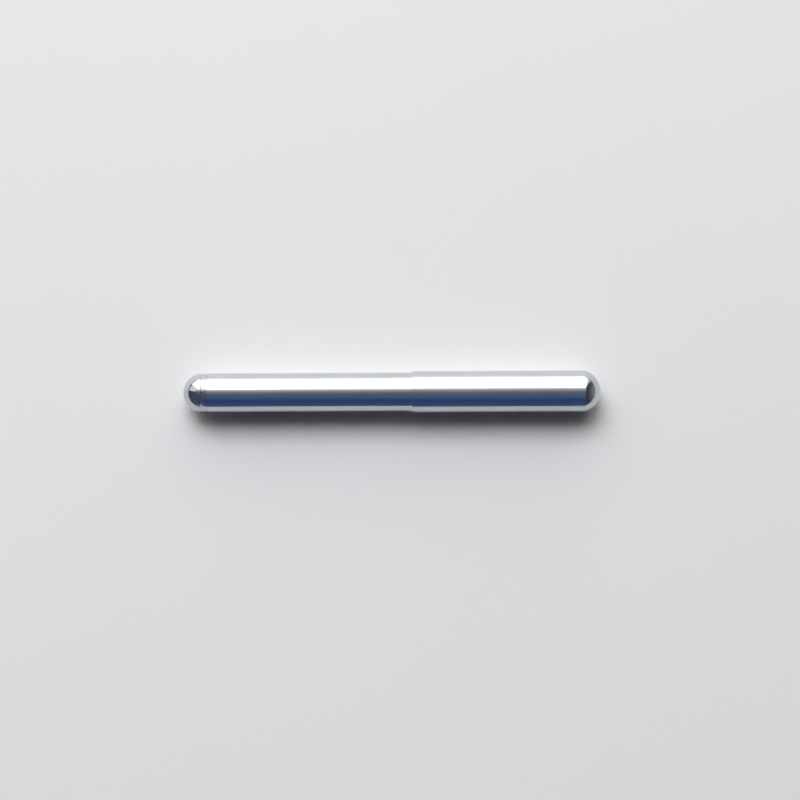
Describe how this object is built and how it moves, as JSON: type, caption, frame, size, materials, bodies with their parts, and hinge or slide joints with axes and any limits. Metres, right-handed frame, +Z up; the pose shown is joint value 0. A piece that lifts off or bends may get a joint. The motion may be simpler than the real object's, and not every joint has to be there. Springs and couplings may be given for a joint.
{
  "type": "technical pen",
  "caption": "Slim all-metal pocket technical pen with a screw cap, a threaded tail for posting it, and an ink cartridge inside.",
  "frame": {"origin": "centre of the pen's length and width, on the surface that it lies on", "axes": "+X along the pen from the tail to the cap's end, +Z up"},
  "size_m": [0.097, 0.0096, 0.0095],
  "materials": {
    "polished_aluminium": "polished",
    "satin_aluminium": "satin turned",
    "stainless_steel": "fine turned",
    "spring_steel": "drawn wire",
    "brass": "turned",
    "white_plastic": "moulded",
    "black_plastic": "moulded",
    "blue_plastic": "moulded",
    "clear_plastic": "translucent moulded",
    "black_rubber": "matt",
    "grey_rubber": "matt"
  },
  "bodies": {
    "section": {"grip_section": "satin_aluminium", "barrel_o_ring": "black_rubber", "section_o_ring": "black_rubber", "line_width_ring": "blue_plastic", "drawing_cone": "stainless_steel", "nib_tube": "stainless_steel", "compensator": "black_plastic", "safety_plug": "black_plastic"},
    "needle": {"drop_weight": "brass", "cleaning_wire": "stainless_steel"},
    "cartridge": {"ink_cartridge": "clear_plastic", "clamp_ring": "white_plastic"},
    "inner_cap_body": {"inner_cap": "white_plastic", "point_seal": "grey_rubber", "inner_cap_spring": "spring_steel"},
    "cap_washer": {"cap_thrust_washer": "white_plastic"},
    "cap": {"cap_shell": "polished_aluminium", "inner_cap_retaining_ring": "spring_steel"},
    "barrel_slide": {"cartridge_spring": "spring_steel"},
    "barrel_washer": {"tail_thrust_washer": "white_plastic"},
    "barrel": {"barrel_tube": "polished_aluminium", "tail_finial": "polished_aluminium"}
  },
  "joints": [
    {"name": "cap_pull", "type": "slide", "parent": "section", "child": "inner_cap_body", "axis": [1, 0, 0], "range_m": [0, 0.04]},
    {"name": "cap_travel", "type": "slide", "parent": "inner_cap_body", "child": "cap_washer", "axis": [1, 0, 0], "range_m": [0, 0.0028], "deforming": ["inner_cap_spring"]},
    {"name": "cap_turn", "type": "hinge", "parent": "cap_washer", "child": "cap", "pos_m": [0.0265, 0, 0.00477], "axis": [1, 0, 0], "range_deg": [0, 720]},
    {"name": "barrel_pull", "type": "slide", "parent": "section", "child": "barrel_slide", "axis": [-1, 0, 0], "range_m": [0, 0.045], "deforming": ["cartridge_spring"]},
    {"name": "barrel_travel", "type": "slide", "parent": "barrel_slide", "child": "barrel_washer", "axis": [-1, 0, 0], "range_m": [0, 0.0036]},
    {"name": "barrel_turn", "type": "hinge", "parent": "barrel_washer", "child": "barrel", "pos_m": [-0.0195, 0, 0.00477], "axis": [-1, 0, 0], "range_deg": [0, 1080]},
    {"name": "cartridge_pull", "type": "slide", "parent": "section", "child": "cartridge", "axis": [-1, 0, 0], "range_m": [0, 0.0036]},
    {"name": "needle_shake", "type": "slide", "parent": "section", "child": "needle", "axis": [1, 0, 0], "range_m": [-0.002, 0]}
  ],
  "couplings": [
    {"joint": "cap_turn", "follows": "cap_travel", "rad_per_m": 4488},
    {"joint": "barrel_turn", "follows": "barrel_travel", "rad_per_m": 5236}
  ]
}
